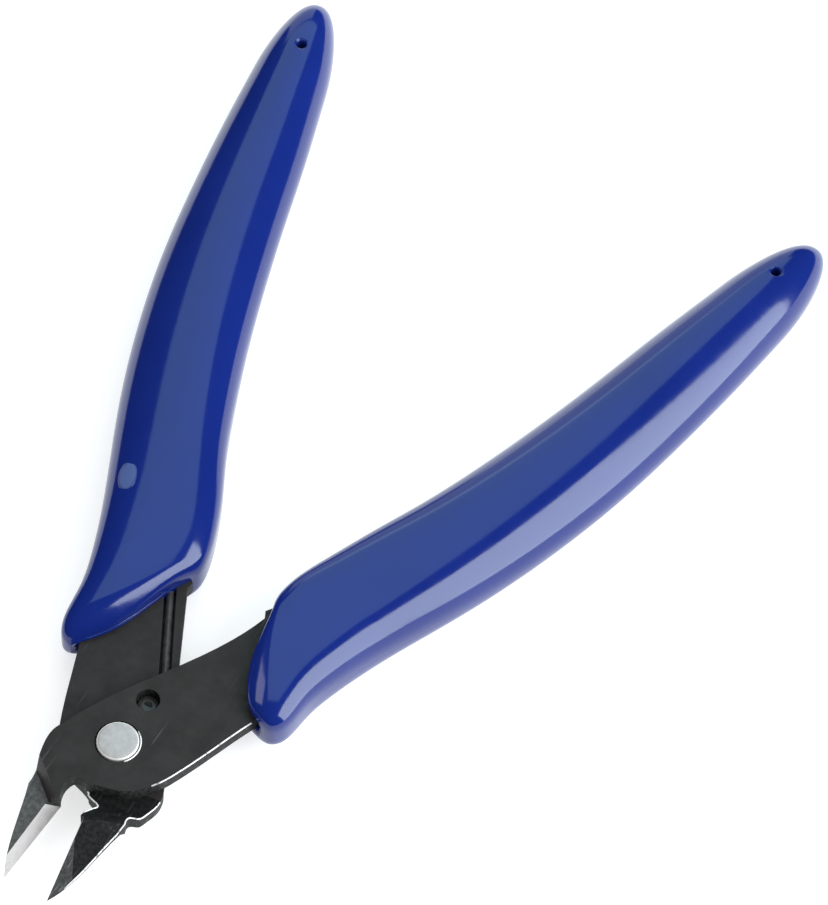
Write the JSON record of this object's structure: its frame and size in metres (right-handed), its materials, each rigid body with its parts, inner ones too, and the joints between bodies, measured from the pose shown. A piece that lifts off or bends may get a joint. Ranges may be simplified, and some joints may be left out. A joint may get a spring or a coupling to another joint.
{
  "type": "flush cut pliers",
  "caption": "Small flush cutting pliers: lapped steel blade halves on a rivet, a bent wire return spring and a moulded grip with a hanging hole on each handle.",
  "frame": {"origin": "on the rivet's axis, on the plane where the two halves slide on each other", "axes": "+Z along the rivet, out of the side that shows its round head; +Y towards the handles; +X towards the right handle, which is the front half's"},
  "size_m": [0.0788, 0.1253, 0.01],
  "materials": {
    "blackened_steel": "black oxide, satin, with bright ground cutting bevels",
    "rivet_steel": "bright, finely turned",
    "spring_wire": "dark drawn spring wire, satin",
    "grip_plastic": "glossy blue dipped plastic"
  },
  "bodies": {
    "back_half": {"back_blade_half": "blackened_steel", "pivot_rivet": "rivet_steel", "return_spring": "spring_wire", "left_grip": "grip_plastic"},
    "front_half": {"front_blade_half": "blackened_steel", "right_grip": "grip_plastic"}
  },
  "joints": [
    {"name": "pivot", "type": "hinge", "parent": "back_half", "child": "front_half", "pos_m": [0, 0, 0], "axis": [0, 0, 1], "range_deg": [0, 16], "stiffness_Nm_per_rad": 1.5, "springref_deg": -5.73, "deforming": ["return_spring"]}
  ]
}
